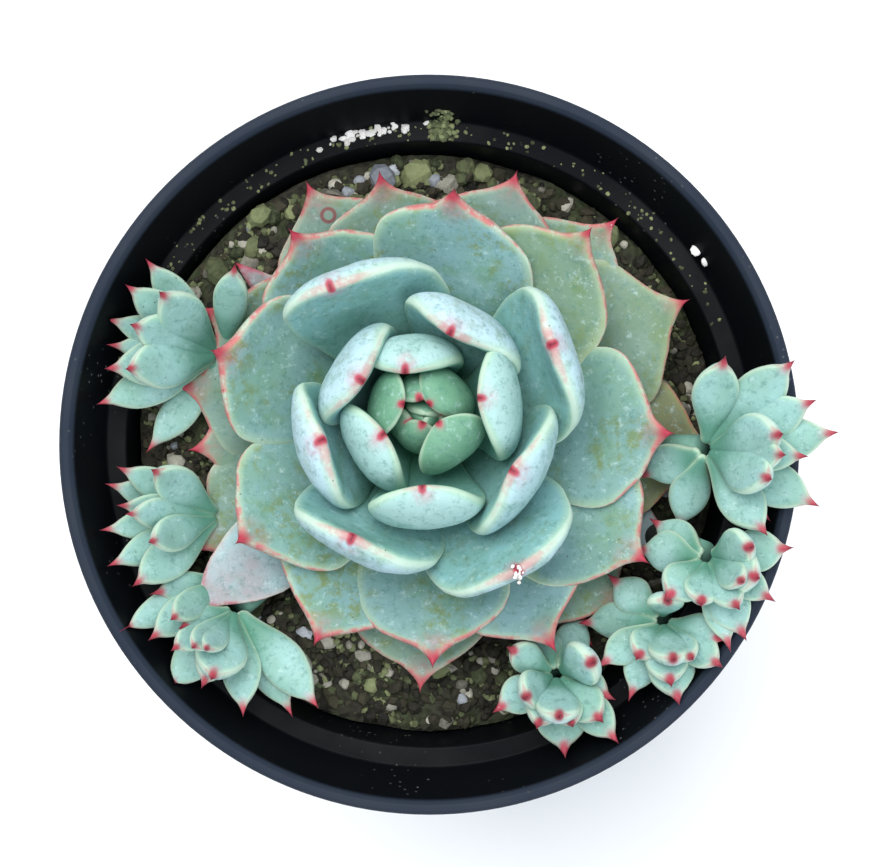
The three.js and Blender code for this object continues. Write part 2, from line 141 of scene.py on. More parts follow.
softbox("sky_window", 115, 58, 0.9, 0.8, 11, "ffffff")
softbox("fill_window", -50, 50, 1.0, 0.9, 7, "f3f8ff")

world = bpy.data.worlds.new("overcast")
bpy.context.scene.world = world
world.use_nodes = True
world.node_tree.nodes["Background"].inputs["Color"].default_value = colour("e9f1fb")
world.node_tree.nodes["Background"].inputs["Strength"].default_value = 0.62
bpy.context.scene.view_settings.view_transform = "Standard"

bm = bmesh.new()
bmesh.ops.create_grid(bm, x_segments=1, y_segments=1, size=3)
floor_mesh = bpy.data.meshes.new("floor")
bm.to_mesh(floor_mesh)
bm.free()
floor = bpy.data.objects.new("floor", floor_mesh)
bpy.context.collection.objects.link(floor)
paper, tree, shader, place = new_material("matte_white_paper")
shader.inputs["Base Color"].default_value = colour("f4f4f3")
shader.inputs["Roughness"].default_value = 0.9
floor_mesh.materials.append(paper)
print("lens", round(camera.data.lens, 1), "mm")

# %% [markdown]
# Waxy leaf skin
#
# A leaf of this kind is smooth, thick and full of water, under a dusting of white wax called farina.
# The wax is why it looks blue and matte rather than green and shiny, so it is a pale layer mixed over
# green, thin where it was rubbed. Light passes a little way into the flesh, which the subsurface
# weight gives. Each leaf mesh carries attributes: how far along the leaf a point is, which face it is
# on, and its distance in millimetres from the point and from the margin. The red of the point, the
# blush along the margin and the pale rounded edge, which is painted light, are painted with those, so
# they follow each leaf; so are a painted shade at each leaf's foot and a painted highlight on its margin.

# %% A leaf skin from a few colours
def leaf_skin(name, upper, lower, flesh, edge, edge_width, blush, line, line_length, line_strength, halo, spot,
              wear, mottle, scars=()):
    """Farinose leaf. Colours are hex. edge_width, line and line_length (red margin near the point), halo
    and spot (round the point) are sizes in millimetres, wear and mottle go from 0 to 1."""
    material, tree, shader, place = new_material(name)

    def read(attribute):
        return add(tree, "ShaderNodeAttribute", attribute_name=attribute).outputs["Fac"]

    def share(value, low, high):
        return add(tree, "ShaderNodeMapRange", {"Value": value, "From Min": low, "From Max": high},
                   interpolation_type="SMOOTHSTEP").outputs["Result"]

    def times(a, b):
        return add(tree, "ShaderNodeMath", {0: a, 1: b}, operation="MULTIPLY").outputs[0]

    def blend(factor, under, over):
        return add(tree, "ShaderNodeMix", {0: factor, 6: under, 7: over}, data_type="RGBA").outputs[2]

    def cloud(size_mm, detail=3, roughness=0.55):
        return add(tree, "ShaderNodeTexNoise", {"Vector": place, "Scale": repeat(size_mm),
                   "Detail": detail, "Roughness": roughness}).outputs["Fac"]

    along, face = read("along"), read("face")
    from_point, from_margin, tint = read("from_point"), read("from_margin"), read("tint")

    # Wax over green flesh: broad clouds of thinner wax on the upper face, even wax underneath.
    upper_face = blend(times(share(cloud(11), 0.4, 0.68), 0.55), colour(upper), colour(flesh))
    skin = blend(share(face, -0.3, 0.25), colour(lower), upper_face)
    skin = blend(times(tint, 0.22), skin, colour(flesh))
    rubbed = times(share(cloud(6.5, 5, 0.65), 0.54, 0.64), wear)
    skin = blend(rubbed, skin, colour(flesh))
    olive = times(share(cloud(2.4, 6, 0.72), 0.46, 0.62), share(cloud(12, 2), 0.42, 0.58))
    skin = blend(times(olive, mottle), skin, colour("6c8050"))
    skin = blend(times(share(cloud(1.3, 7, 0.8), 0.5, 0.36), 0.48), skin, colour("44736a"))
    skin = blend(times(share(cloud(1.7, 8, 0.78), 0.54, 0.68), 0.42), skin, colour("c4dadb"))

    # The foot of a leaf is darker and greener: painted shade where the other leaves shade it, and less wax there.
    skin = blend(times(share(along, 0.62, 0.12), 0.85), skin, colour("3f7a63"))

    # Where a stem carries the leaves it is cork-brown, and so dark that it is partly painted shade under the leaves.
    skin = blend(share(from_point, 50, 60), skin, colour("33352a"))

    # Rounded margin: painted light, since thin flesh with light in it looks paler and a little yellow.
    skin = blend(times(share(from_margin, edge_width, 0), 0.6), skin, colour(edge))
    # A painted highlight: a thin pale line along the very margin.
    skin = blend(times(share(from_margin, 0.7, 0.1), 0.35), skin, colour("dcebd8"))

    # Blush: a fine line along the margin, widening and deepening towards the point.
    near = share(from_point, line_length, 1)
    wide = add(tree, "ShaderNodeMapRange", {"Value": near, "To Min": line * 0.4, "To Max": line * 1.9}).outputs[0]
    closer = add(tree, "ShaderNodeMath", {0: from_margin, 1: wide}, operation="DIVIDE").outputs[0]
    red_line = times(share(closer, 1, 0.2), share(from_point, line_length * 1.5, line_length * 0.5))
    red_line = times(red_line, share(cloud(2.4, 6, 0.65), 0.34, 0.6))
    skin = blend(times(red_line, line_strength), skin, colour(blush))
    ring_of_red = times(share(from_point, halo, 0.3), share(cloud(1.6, 5), 0.25, 0.62))
    skin = blend(times(ring_of_red, 0.5), skin, colour(blush))
    skin = blend(times(share(from_point, spot * 1.9, spot * 0.7), 0.9), skin, colour("a01637"))
    skin = blend(times(share(from_point, spot * 0.7, spot * 0.2), 0.7), skin, colour("5f0d22"))

    # Loose farina specks, and tiny dark specks of dirt.
    grains = add(tree, "ShaderNodeTexVoronoi", {"Vector": place, "Scale": repeat(1.0)}).outputs["Distance"]
    speck = times(share(grains, 0.17, 0.09), share(cloud(7), 0.52, 0.64))
    skin = blend(times(speck, 0.32), skin, colour("e4efee"))
    dirt = add(tree, "ShaderNodeTexVoronoi", {"Vector": place, "Scale": repeat(3.7)}).outputs["Distance"]
    skin = blend(times(share(dirt, 0.05, 0.03), 0.7), skin, colour("3c4434"))

    # Old ring-shaped scars where a drop or an insect marked a leaf.
    for x, y, z, radius in scars:
        offset = add(tree, "ShaderNodeVectorMath", {0: place, 1: (x * MM, y * MM, z * MM)}, operation="DISTANCE")
        ring = add(tree, "ShaderNodeMath", {0: offset.outputs["Value"], 1: radius * MM}, operation="SUBTRACT")
        gap = add(tree, "ShaderNodeMath", {0: ring.outputs[0]}, operation="ABSOLUTE").outputs[0]
        skin = blend(times(share(gap, 0.45 * MM, 0.15 * MM), 0.85), skin, colour("7b3a3c"))

    tree.links.new(skin, shader.inputs["Base Color"])
    rough = add(tree, "ShaderNodeMapRange", {"Value": rubbed, "To Min": 0.58, "To Max": 0.42})
    tree.links.new(rough.outputs["Result"], shader.inputs["Roughness"])
    grain = add(tree, "ShaderNodeBump", {"Strength": 0.15, "Distance": 0.12 * MM, "Height": cloud(0.5, 2)})
    pits = add(tree, "ShaderNodeBump", {"Strength": 0.3, "Distance": 0.35 * MM, "Height": cloud(4, 4),
               "Normal": grain.outputs["Normal"]})
    tree.links.new(pits.outputs["Normal"], shader.inputs["Normal"])
    shader.inputs["Subsurface Weight"].default_value = 0.12
    shader.inputs["Subsurface Radius"].default_value = (0.9, 1.0, 0.7)
    shader.inputs["Subsurface Scale"].default_value = 1.2 * MM
    shader.inputs["Specular IOR Level"].default_value = 0.4
    return material


young_skin = leaf_skin("young_farinose_leaf", upper="588b6c", lower="69987c", flesh="4d8464",
                       edge="98c09a", edge_width=1.2, blush="a85a66", line=0.3, line_length=2,
                       line_strength=0.2, halo=1.5, spot=0.5, wear=0.2, mottle=0)
inner_skin = leaf_skin("inner_farinose_leaf", upper="70a298", lower="a6c8c4", flesh="5b9380",
                       edge="a6cca6", edge_width=1.5, blush="bd5a70", line=0.4, line_length=4,
                       line_strength=0.3, halo=2.8, spot=0.5, wear=0.25, mottle=0.05)
middle_skin = leaf_skin("mature_farinose_leaf", upper="7fadae", lower="b4d0d8", flesh="659684",
                        edge="a5c2a6", edge_width=2.2, blush="b9606c", line=0.9, line_length=7,
                        line_strength=0.5, halo=3.4, spot=0.55, wear=0.35, mottle=0.35)
spread_skin = leaf_skin("spreading_farinose_leaf", upper="779b9d", lower="8fb4b4", flesh="688f72",
                        edge="a3b996", edge_width=2.6, blush="bd5a60", line=0.9, line_length=19,
                        line_strength=0.85, halo=6, spot=1.3, wear=0.55, mottle=0.9)
aged_skin = leaf_skin("aged_farinose_leaf", upper="78938a", lower="93b0a8", flesh="6c8a6c",
                      edge="a6b094", edge_width=2.6, blush="b5585c", line=0.9, line_length=22,
                      line_strength=0.85, halo=6, spot=1.2, wear=0.65, mottle=1,
                      scars=[(-17.0, 38.5, 80, 1.1)])
withering_skin = leaf_skin("withering_leaf", upper="93adb0", lower="a9b7b5", flesh="9c8f92",
                           edge="b9aaa6", edge_width=1.5, blush="a8425c", line=0.9, line_length=14,
                           line_strength=0.8, halo=9, spot=1.1, wear=0.4, mottle=0.15)
freckled_skin = leaf_skin("freckled_farinose_leaf", upper="748f7e", lower="8fae9c", flesh="6a8458",
                          edge="a0ae84", edge_width=3, blush="b56664", line=0.8, line_length=20,
                          line_strength=0.8, halo=4.4, spot=1, wear=0.7, mottle=1)
olive_skin = leaf_skin("sun_worn_leaf", upper="747d5c", lower="8f9a7c", flesh="6b6a42",
                       edge="9c9a68", edge_width=2.6, blush="b06a58", line=0.8, line_length=22,
                       line_strength=0.8, halo=4.4, spot=1, wear=0.8, mottle=0.6)
pup_skin = leaf_skin("pup_farinose_leaf", upper="92b9b4", lower="b9d6d2", flesh="78a28e",
                     edge="a9c6a6", edge_width=1.3, blush="bd5c70", line=0.25, line_length=3,
                     line_strength=0.5, halo=2.4, spot=0.75, wear=0.3, mottle=0.1)
print("leaf skins:", [m.name for m in bpy.data.materials if "leaf" in m.name])

# %% [markdown]
# The shape of one leaf
#
# A leaf is a pillow with two poles: its foot on the stem and its hard red point. So it starts as a UV
# sphere, and each vertex is moved to where the leaf has it. Going from pole to pole gives the share of
# the leaf's length; going round gives the margin and the two faces. The outline has a narrow foot and
# broad shoulders. Old leaves run out to a drawn point; young ones end in a thick cushion that carries
# the point as a small spot. The middle line bends evenly from one lift angle to another, which is the
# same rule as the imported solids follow, so both fill the same space.

# %% Leaf outline, thickness and bend
NECK = 0.42
UPPER_SHARE = 0.4  # of the thickness lies above the leaf's middle surface
SPINE_SHARE = 0.08  # the last part of a leaf, which the drawn point stretches by its spine, in millimetres

# Where the widest place is, how the width then falls off (two exponents), how full the leaf stays
# towards its end, and how square its section is (lower is squarer).
CUSHION = {"shoulder": 0.6, "fall": 3.0, "ending": 0.6, "full": 0.8, "square": 0.84}
BROAD = {"shoulder": 0.62, "fall": 2.8, "ending": 0.85, "full": 0.75, "square": 0.86}
OGEE = {"shoulder": 0.64, "fall": 3.0, "ending": 2.0, "full": 0.6, "square": 0.85,
        "spine": 2.0}
ALMOND = {"shoulder": 0.48, "fall": 2.0, "ending": 1.15, "full": 0.7, "square": 0.92}
SPOON = {"neck": 0.26, "shoulder": 0.56, "fall": 2.3, "ending": 1.2, "full": 0.6, "square": 0.94,
         "spine": 1.6}


def ease(low, high, share):
    share = min(1, max(0, share))
    return low + (high - low) * share * share * (3 - 2 * share)


def outline(share, form):
    """Half width at a share of the length, as a share of the greatest half width."""
    past = max(0, (share - form["shoulder"]) / (1 - form["shoulder"]))
    body = ease(form.get("neck", NECK), 1, share / form["shoulder"]) * (1 - past ** form["fall"]) ** form["ending"]
    return min(1, math.sqrt(share / 0.04)) * body


def fatness(share, form):
    foot = min(1, math.sqrt(share / 0.04))
    thinner = 1 - (1 - form["full"]) * share ** 2
    return foot * ease(0.6, 1, share / 0.45) * thinner * math.sqrt(max(0, 1 - share ** 10))


def squared(value, form):
    return math.copysign(abs(value) ** form["square"], value)


LAYERS = ("along", "face", "from_point", "from_margin", "tint")


def grow_leaf(bm, place, leaf, form, around, rings, seed):
    """Adds one leaf to bm. leaf holds its sizes in millimetres and place turns it to where it grows."""
    layers = [bm.verts.layers.float.get(n) or bm.verts.layers.float.new(n) for n in LAYERS]
    ball = bmesh.ops.create_uvsphere(bm, u_segments=around, v_segments=rings, radius=1)["verts"]
    start = math.radians(leaf["lift"][0])
    bend = math.radians(leaf["lift"][1]) - start
    half = leaf["width"] / 2
    tint = random.Random(seed).random()
    for vert in ball:
        share = (1 - vert.co.z) / 2
        turn = math.atan2(vert.co.y, vert.co.x)
        side, face = squared(math.cos(turn), form), squared(math.sin(turn), form)
        lift = start + bend * share
        out = leaf["foot"] + leaf["length"] * (math.sin(lift) - math.sin(start)) / bend
        up = leaf["length"] * (math.cos(start) - math.cos(lift)) / bend
        spine = form.get("spine", 0) * max(0, 1 - (1 - share) / SPINE_SHARE) ** 1.5
        out += spine * math.cos(lift)
        up += spine * math.sin(lift)
        wide = outline(share, form)
        deep = fatness(share, form) * leaf["thickness"] * (UPPER_SHARE if face > 0 else 1 - UPPER_SHARE)
        deep = min(deep, half * wide * 0.9 + 0.05)
        raised = leaf["cup"] * (side * wide) ** 2 * (1 - 0.8 * share ** 3) + deep * face
        spot = place @ Vector((out - raised * math.sin(lift),
                               half * wide * side + leaf["sway"] * share ** 2,
                               up + raised * math.cos(lift)))
        soft = min(1, half * wide / 3) * leaf["unevenness"]
        spot += noise.noise_vector(spot * 0.09 + Vector((seed, 0, 0))) * soft
        spot += noise.noise_vector(spot * 0.3 + Vector((0, seed, 0))) * soft * 0.25
        vert.co = spot * MM
        to_margin = half * wide * (1 - abs(side)) + 0.5 * deep * abs(face)
        to_point = math.hypot((1 - share) * leaf["length"], half * wide * side)
        for layer, value in zip(layers, (share, face, to_point, to_margin, tint)):
            vert[layer] = value
    return ball


def finish_piece(bm, name, material, smooth=True):
    """Turns a bmesh into a piece that stands in the object's own frame."""
    mesh = bpy.data.meshes.new(name)
    bm.to_mesh(mesh)
    bm.free()
    mesh.materials.append(material)
    if smooth:
        mesh.shade_smooth()
    piece = bpy.data.objects.new(name, mesh)
    bpy.context.collection.objects.link(piece)
    return piece


for form in (CUSHION, BROAD, OGEE, ALMOND):
    print("half width along a leaf:", [round(outline(s / 10, form), 2) for s in range(11)])

# %% [markdown]
# The main rosette
#
# A rosette grows from its heart: the youngest leaves stand up and curl in over the growing point, and
# each older ring leans out further, down to the nearly flat leaves that rest over the soil. The rows
# below say for every leaf which way it points, how long and wide it is, and its lift at both ends.

# %% Leaves by ring, from the heart outwards
STEM_OFFSET = (-0.6, 4.6)
STEM_FOOT_RADIUS = 8.5
STEM_TOP_RADIUS = 1.6
STEM_TOP_DROP = 7.5
SOIL_DEPTH = 21
GAP = 0.3

# node name, form, skin, slot, drop under the rim, thickness, cup, unevenness, leaves as
# (azimuth, length, width, lift at the foot, lift at the point, sway of the point)
RINGS = [
    ("heart_leaf", CUSHION, young_skin, "young_leaf", 4.5, 3.6, 0.8, 0.3, [
        (308, 19.5, 12.5, 14, 166, 1), (167, 18, 11, 14, 152, -1), (42, 16.5, 10.5, 20, 164, 1),
        (250, 12.5, 8, 40, 150, 0), (108, 14.5, 6.5, 36, 138, 0), (205, 11, 5.5, 46, 130, 0),
        (15, 10.5, 5.5, 50, 130, 0)]),
    ("inner_leaf", CUSHION, inner_skin, "young_leaf", 7, 5.8, 1.2, 0.4, [
        (91, 22, 15, 10, 138, 3), (5, 26.5, 17.5, 3, 140, 2), (216, 23, 16, 9, 140, -1.5),
        (273, 30, 18.5, -4, 138, -1)]),
    ("middle_leaf", BROAD, middle_skin, "mature_leaf", 10, 6.4, 1.8, 0.7, [
        (146, 28.5, 18.5, 12, 126, 1), (60, 30, 21.5, 4, 126, 3), (200, 31, 21.5, 0, 116, -2),
        (328, 32.5, 23.5, -2, 122, 0), (247, 36, 25, -6, 108, -3), (19, 36, 25, -6, 106, 4),
        (301, 38, 26, -4, 88, 0), (110, 36, 26, -5, 100, 7)]),
    ("spreading_leaf", OGEE, spread_skin, "mature_leaf", 13.5, 5, 2.6, 0.9, [
        (163, 35, 25, 2, 52, 0), (75, 36, 27, 4, 54, 5), (356, 38, 26, 2, 44, 0),
        (217, 35, 25, 2, 48, -2), (273, 38, 25, 0, 42, -1), (324, 40, 26, 0, 38, 2),
        (120, 35, 25, 2, 46, 4), (43, 38, 26, 0, 44, 4), (299, 40, 25, 0, 34, 0),
        (244, 38, 25, 0, 38, 0)]),
    ("outer_leaf", OGEE, aged_skin, "aged_leaf", 17.2, 4, 1.6, 1.0, [
        (98, 34, 24, 2, 28, 2), (67, 36, 25, 2, 28, 2), (24, 40, 26, 0, 20, 0),
        (270, 38, 24, 0, 22, -1), (154, 34, 24, 2, 26, 0), (173, 34, 24, 0, 22, 0),
        (188, 32, 23, 0, 20, 0), (315, 39, 25, 0, 20, 0), (117, 36, 23, 0, 18, 0),
        (46, 38, 24, 0, 18, 0), (352, 41, 25, -2, 14, 1), (210, 37, 24, 0, 18, 0)]),
    ("old_leaf", ALMOND, withering_skin, "withering_leaf", 19.5, 3.4, 0.8, 0.9, [
        (141, 34, 8, 4, 26, 0), (220, 44, 17, 14, 24, 0), (333, 41, 12, 0, 12, 0),
        (306, 40, 10, 0, 12, 0)]),
]


# Leaves on the sunny side that have lost much of their wax.
WORN_LEAVES = {"outer_leaf_11": olive_skin, "spreading_leaf_8": freckled_skin, "outer_leaf_3": freckled_skin}


def stem_radius(height):
    low = RIM_HEIGHT - SOIL_DEPTH
    high = RIM_HEIGHT - STEM_TOP_DROP
    return ease(STEM_FOOT_RADIUS, STEM_TOP_RADIUS, (height - low) / (high - low))


leaf_points = {}  # where each leaf's point is, in millimetres
leaf_seed = 0
for ring_name, form, skin, slot, drop, thickness, cup, unevenness, leaves in RINGS:
    height = RIM_HEIGHT - drop
    for number, (azimuth, length, width, lift_foot, lift_point, sway) in enumerate(leaves, 1):
        leaf_seed += 1
        leaf = {"foot": stem_radius(height) + GAP, "length": length, "width": width,
                "thickness": thickness, "cup": cup, "lift": (lift_foot, lift_point), "sway": sway,
                "unevenness": unevenness}
        where = Matrix.Translation((*STEM_OFFSET, height)) @ Matrix.Rotation(math.radians(azimuth), 4, "Z")
        bm = bmesh.new()
        verts = grow_leaf(bm, where, leaf, form, around=44, rings=44, seed=leaf_seed)
        name = f"{ring_name}_{number}"
        leaf_points[name] = max(verts, key=lambda v: v[bm.verts.layers.float["along"]]).co / MM
        piece = finish_piece(bm, "skin_" + name, WORN_LEAVES.get(name, skin))
        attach(piece, "root")
        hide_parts(name)
    print(ring_name, len(leaves), "leaves")

# The growing point: three leaves still folded together over the tip of the stem.
bm = bmesh.new()
for azimuth, length, width in ((80, 14, 7), (205, 13, 6.5), (325, 13.5, 6.5)):
    leaf_seed += 1
    leaf = {"foot": 0.3, "length": length, "width": width, "thickness": 3.6, "cup": 0.3,
            "lift": (74, 106), "sway": 0, "unevenness": 0.1}
    where = Matrix.Translation((*STEM_OFFSET, RIM_HEIGHT - STEM_TOP_DROP)) @ Matrix.Rotation(
        math.radians(azimuth), 4, "Z")
    for vert in grow_leaf(bm, where, leaf, CUSHION, around=24, rings=24, seed=leaf_seed):
        vert[bm.verts.layers.float["from_point"]] += 3  # the youngest leaves have no red point yet
bud = finish_piece(bm, "growing_point", young_skin)
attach(bud, "root")

# %% [markdown]
# Offsets
#
# Around the rosette grow its offsets. Crowded by the big leaves, each leans out over the pot's wall, so
# from above its leaves open like a fan towards the rim, the youngest standing in the middle. The rows
# give each offset's crown, and for every leaf the direction it points, how far it reaches, how much
# higher its point is than the crown, and its width. A leaf between two such places is an arc that
# turns upwards by the same angle in every leaf. One piece holds an offset's stem and leaves, because
# it grows as one.

# %% Grow the offsets
PUP_STEM_RADIUS = 2.4
PUP_STEM_INSET = 9
PUP_LEAF_BEND = math.radians(34)
PUP_LEAF_THICKNESS = 0.6  # share of a leaf's width
LIP_WIDTH = 2.2
COLLAR_DEPTH = 12
COLLAR_TAPER = 3.4
PUP_STEM_DROP = 3  # the stem ends this far below the crown, among the feet of the leaves

# node name: crown (azimuth, inset from the rim, rise over the rim), leaves (azimuth, reach, climb, width)
PUPS = {
    "pup_west_upper": ((157, 22, -12), [
        (76, 14, 11, 6),
        (126, 18, 9, 6), (142, 17, 11, 6.5), (162, 18, 7, 5.5), (175, 17, 6, 5.5), (188, 17, 9, 7.5),
        (203, 20, 7, 7), (233, 19, 2, 6), (130, 12, 15, 7.5), (161, 13, 14, 7), (192, 13, 16, 8)]),
    "pup_west": ((199, 23, -12), [
        (152, 17, 9, 5.5), (163, 18, 6, 5.5), (140, 12, 13, 6.5), (176, 13, 14, 5.5), (172, 15, 10, 5),
        (200, 10, 15, 6), (186, 18, 7, 5.5), (204, 18, 9, 6), (220, 16, 11, 7)]),
    "pup_southwest_rim": ((213, 19.5, -10), [
        (207, 17, 8, 5.5), (220, 14, 9, 6), (219, 9, 13, 5), (192, 11, 5, 5), (236, 11, 6, 5)]),
    "pup_southwest": ((220, 18, -8), [
        (231, 16, 5, 7), (250, 12, 9, 6.5), (257, 10, 13, 8.5), (277, 16, 7, 6.5), (298, 19, 1, 6.5),
        (312, 20, 6, 7.5), (213, 10, 12, 5), (224, 7, 15, 4.5), (240, 6, 15, 4.5), (198, 8, 8, 5)]),
    "pup_east": ((359, 15, -3), [
        (83, 14, 9, 7.5), (48, 18, 9, 8), (26, 17, 9, 7.5), (8, 19, 8, 8), (14, 10, 13, 8.5),
        (356, 10, 14, 6), (356, 14, 9, 6), (331, 9, 14, 8), (332, 18, 8, 7.5), (302, 15, 9, 7.5),
        (311, 14, 3, 6),
        (205, 10, -6, 7), (255, 13, -6, 7)]),
    "pup_southeast_rim": ((338, 11.5, -1), [
        (222, 9, 4, 7), (8, 12, 5, 7), (338, 7, 9, 7.5), (326, 11, 6, 5.5), (296, 8, 9, 5.5),
        (293, 13, 5, 7), (282, 14, 4, 5.5), (20, 6, 9, 7), (255, 7, 7, 6), (322, 5, 11, 5),
        (175, 10, -5, 7), (145, 9, -7, 6)]),
    "pup_southeast": ((323, 12, -5), [
        (228, 7, 6, 6), (215, 12, 1, 6), (247, 13, 0, 6), (275, 5, 11, 7), (304, 6, 10, 5),
        (272, 9, 8, 7), (278, 12, 6, 8), (322, 10, 8, 6), (345, 9, 6, 6), (90, 4, 7, 6),
        (140, 10, -4, 6.5), (185, 12, -6, 6.5)]),
    "pup_south": ((299, 16.5, -8), [
        (30, 6, 9, 8), (204, 6, 10, 6.5), (266, 5, 13, 7.5), (285, 7, 10, 5.5), (316, 9, 8, 6.5),
        (244, 8, 8, 6), (209, 11, 3, 6.5), (313, 13, 7, 6.5), (275, 12, 4, 8.5), (149, 9, 5, 5.5),
        (338, 9, 3, 6),
        (110, 7, -4, 6), (60, 10, -6, 6)]),
}


def clear_of_pot(spot):
    """Leans a point of a leaf on the inside of the pot's collar, or rests it on the lip."""
    radius = math.hypot(spot.x, spot.y)
    depth = RIM_HEIGHT + GAP - spot.z
    inside = RIM_RADIUS - LIP_WIDTH - GAP - COLLAR_TAPER * min(1, max(0, depth) / COLLAR_DEPTH)
    if depth <= 0 or radius <= inside:
        return spot
    if radius - inside < depth:
        return Vector((spot.x * inside / radius, spot.y * inside / radius, spot.z))
    return Vector((spot.x, spot.y, RIM_HEIGHT + GAP))


for name, (crown, leaves) in PUPS.items():
    turn, inset, rise = crown
    swing = Matrix.Rotation(math.radians(turn), 4, "Z")
    crown = swing @ Vector((RIM_RADIUS - inset, 0, RIM_HEIGHT + rise))
    foot = swing @ Vector((RIM_RADIUS - inset - PUP_STEM_INSET, 0, RIM_HEIGHT - SOIL_DEPTH))
    top = crown - Vector((0, 0, PUP_STEM_DROP))
    axis = top - foot
    bm = bmesh.new()
    for layer_name in LAYERS:
        bm.verts.layers.float.new(layer_name)
    stem_place = Matrix.Translation((top + foot) / 2) @ axis.to_track_quat("Z", "Y").to_matrix().to_4x4()
    stem = bmesh.ops.create_cone(bm, cap_ends=True, segments=24, radius1=PUP_STEM_RADIUS,
                                 radius2=PUP_STEM_RADIUS, depth=axis.length,
                                 matrix=Matrix.Scale(MM, 4) @ stem_place)["verts"]
    # Low on the stem the dark cork-brown is set, which is partly painted shade.
    for vert in stem:
        corky_and_shaded = 45 if vert.co.z / MM > top.z - 4 else 70
        for layer_name, value in zip(LAYERS, (0.2, -1, corky_and_shaded, 5, 0.5)):
            vert[bm.verts.layers.float[layer_name]] = value
    for azimuth, reach, climb, width in leaves:
        leaf_seed += 1
        chord = Vector((reach - 1, climb))
        middle_lift = math.atan2(chord.y, chord.x)
        lift = [math.degrees(middle_lift + turn * PUP_LEAF_BEND / 2) for turn in (-1, 1)]
        leaf = {"foot": 1, "length": chord.length * (PUP_LEAF_BEND / 2) / math.sin(PUP_LEAF_BEND / 2),
                "width": width, "thickness": width * PUP_LEAF_THICKNESS, "cup": 0,
                "lift": lift, "sway": 0, "unevenness": 0.3}
        where = Matrix.Translation(crown) @ Matrix.Rotation(math.radians(azimuth), 4, "Z")
        grow_leaf(bm, where, leaf, SPOON, around=28, rings=30, seed=leaf_seed)
    for vert in bm.verts:
        vert.co = clear_of_pot(vert.co / MM) * MM
    piece = finish_piece(bm, "skin_" + name, pup_skin)
    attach(piece, "root")
    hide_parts(name)
    print(name, len(leaves), "leaves")

# %% [markdown]
# Pot
#
# The pot is injection-moulded black polypropylene, about a millimetre and a half thick. Its shape is
# one profile turned about the axis, so it is drawn once and spun. Spin leaves a seam where the last
# copy meets the first; use_merge closes it. The drain holes and the notches in the foot ring are cut
# with a Boolean modifier, which is then applied.

# %% Spin the pot's profile
POT_BASE_RADIUS = 43
POT_WALL = 1.5
POT_FLOOR = 1.8
LIP_DROP = 3.2
STEP_WIDTH = 3.5
FOOT_RING_WIDTH = 4
FOOT_RECESS = 2.4
RECESS_SLOPE = 1
FLOOR_CORNER = 2
EDGE = 0.6
CENTRE_DISC_RADIUS = 12
DRAIN_HOLE_RADIUS = 3.2
DRAIN_HOLE_COUNT = 8
FOOT_NOTCH_WIDTH = 7
FOOT_NOTCH_RISE = 1.8
FOOT_NOTCH_COUNT = 4
STEP_HEIGHT = RIM_HEIGHT - COLLAR_DEPTH
LIP_INNER_RADIUS = RIM_RADIUS - LIP_WIDTH
STEP_OUTER_RADIUS = LIP_INNER_RADIUS - COLLAR_TAPER
STEP_INNER_RADIUS = STEP_OUTER_RADIUS - STEP_WIDTH


def wall_inner_radius(height):
    foot = POT_BASE_RADIUS - POT_WALL
    return foot + (STEP_INNER_RADIUS - foot) * height / STEP_HEIGHT


def spin_profile(bm, profile, steps):
    """Turns an open profile of (radius, height) in millimetres about Z into a closed skin."""
    verts = [bm.verts.new((radius * MM, 0, height * MM)) for radius, height in profile]
    edges = [bm.edges.new(pair) for pair in zip(verts, verts[1:])]
    bmesh.ops.spin(bm, geom=verts + edges, cent=(0, 0, 0), axis=(0, 0, 1), angle=math.tau,
                   steps=steps, use_merge=True, use_duplicate=False)
    bmesh.ops.remove_doubles(bm, verts=bm.verts, dist=0.01 * MM)
    bmesh.ops.recalc_face_normals(bm, faces=bm.faces)


foot_inner = POT_BASE_RADIUS - FOOT_RING_WIDTH
step_under = STEP_HEIGHT - POT_WALL
floor_top = FOOT_RECESS + POT_FLOOR
pot_profile = [
    (0, 0), (CENTRE_DISC_RADIUS, 0), (CENTRE_DISC_RADIUS + RECESS_SLOPE, FOOT_RECESS),
    (foot_inner - RECESS_SLOPE, FOOT_RECESS), (foot_inner, 0), (POT_BASE_RADIUS - EDGE, 0),
    (POT_BASE_RADIUS, EDGE), (wall_inner_radius(step_under) + POT_WALL, step_under),
    (STEP_OUTER_RADIUS + POT_WALL - EDGE, step_under), (STEP_OUTER_RADIUS + POT_WALL, step_under + EDGE),
    (LIP_INNER_RADIUS + POT_WALL - EDGE, RIM_HEIGHT - LIP_DROP), (RIM_RADIUS - EDGE / 2, RIM_HEIGHT - LIP_DROP),
    (RIM_RADIUS, RIM_HEIGHT - LIP_DROP + EDGE), (RIM_RADIUS, RIM_HEIGHT - EDGE),
    (RIM_RADIUS - EDGE, RIM_HEIGHT), (LIP_INNER_RADIUS + EDGE, RIM_HEIGHT),
    (LIP_INNER_RADIUS, RIM_HEIGHT - EDGE), (STEP_OUTER_RADIUS, STEP_HEIGHT + EDGE / 2),
    (STEP_OUTER_RADIUS - EDGE / 2, STEP_HEIGHT), (STEP_INNER_RADIUS + EDGE / 2, STEP_HEIGHT),
    (STEP_INNER_RADIUS, STEP_HEIGHT - EDGE / 2),
    (wall_inner_radius(floor_top + FLOOR_CORNER), floor_top + FLOOR_CORNER),
    (wall_inner_radius(0) - FLOOR_CORNER, floor_top), (0, floor_top),
]
bm = bmesh.new()
spin_profile(bm, pot_profile, steps=160)
pot_body = finish_piece(bm, "moulded_pot", paper, smooth=False)

